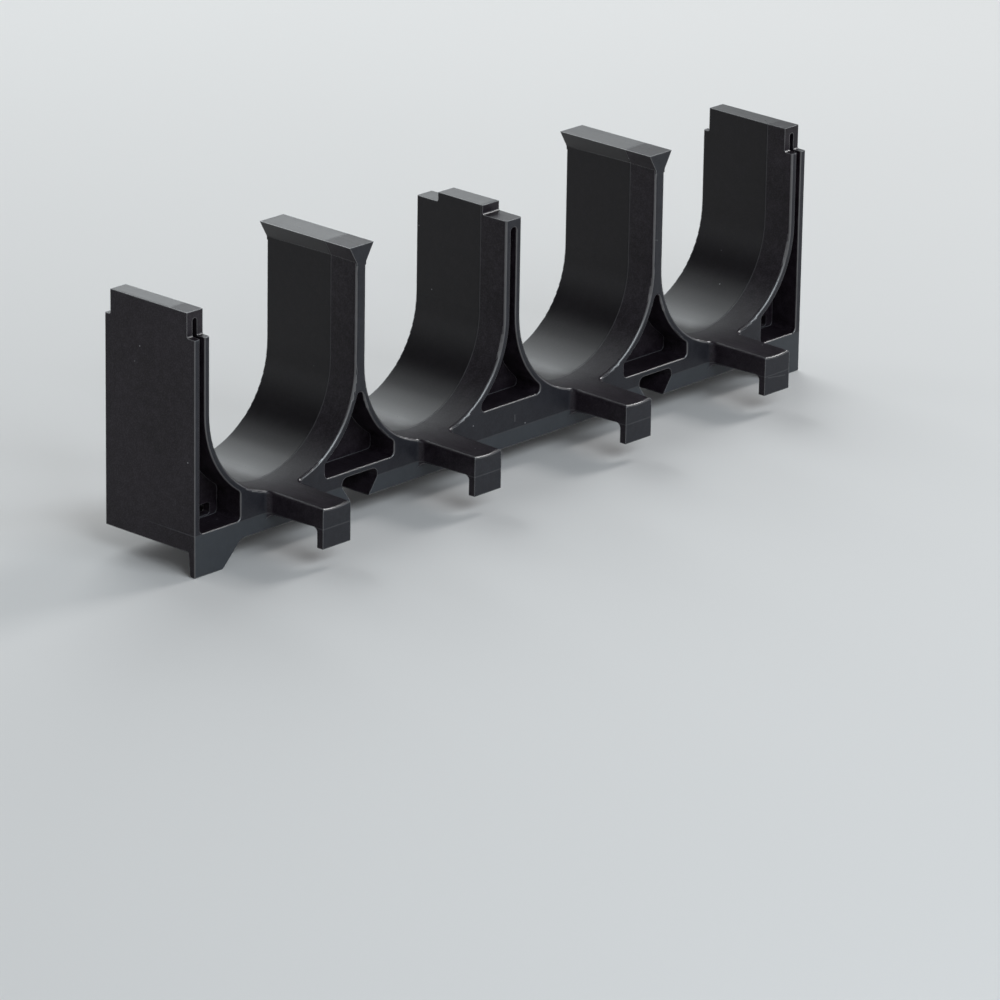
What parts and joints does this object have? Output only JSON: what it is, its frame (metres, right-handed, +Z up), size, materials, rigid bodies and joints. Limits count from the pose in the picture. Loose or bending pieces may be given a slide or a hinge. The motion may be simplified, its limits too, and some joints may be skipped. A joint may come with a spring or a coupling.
{
  "type": "cable spacer",
  "caption": "Comb-shaped black nylon cable spacer with round-bottomed troughs, dovetail heads and sockets for stacking, and hooked strap arms in front.",
  "frame": {"origin": "middle of the seat, the underside that lies on the rung", "axes": "+X along the comb, -Y to the front where the strap arms reach out, +Z up"},
  "size_m": [0.2554, 0.0562, 0.0822],
  "materials": {
    "nylon": "semi-gloss black nylon with a fine moulded grain"
  },
  "bodies": {
    "root": {"cable_spacer": "nylon"}
  },
  "joints": []
}
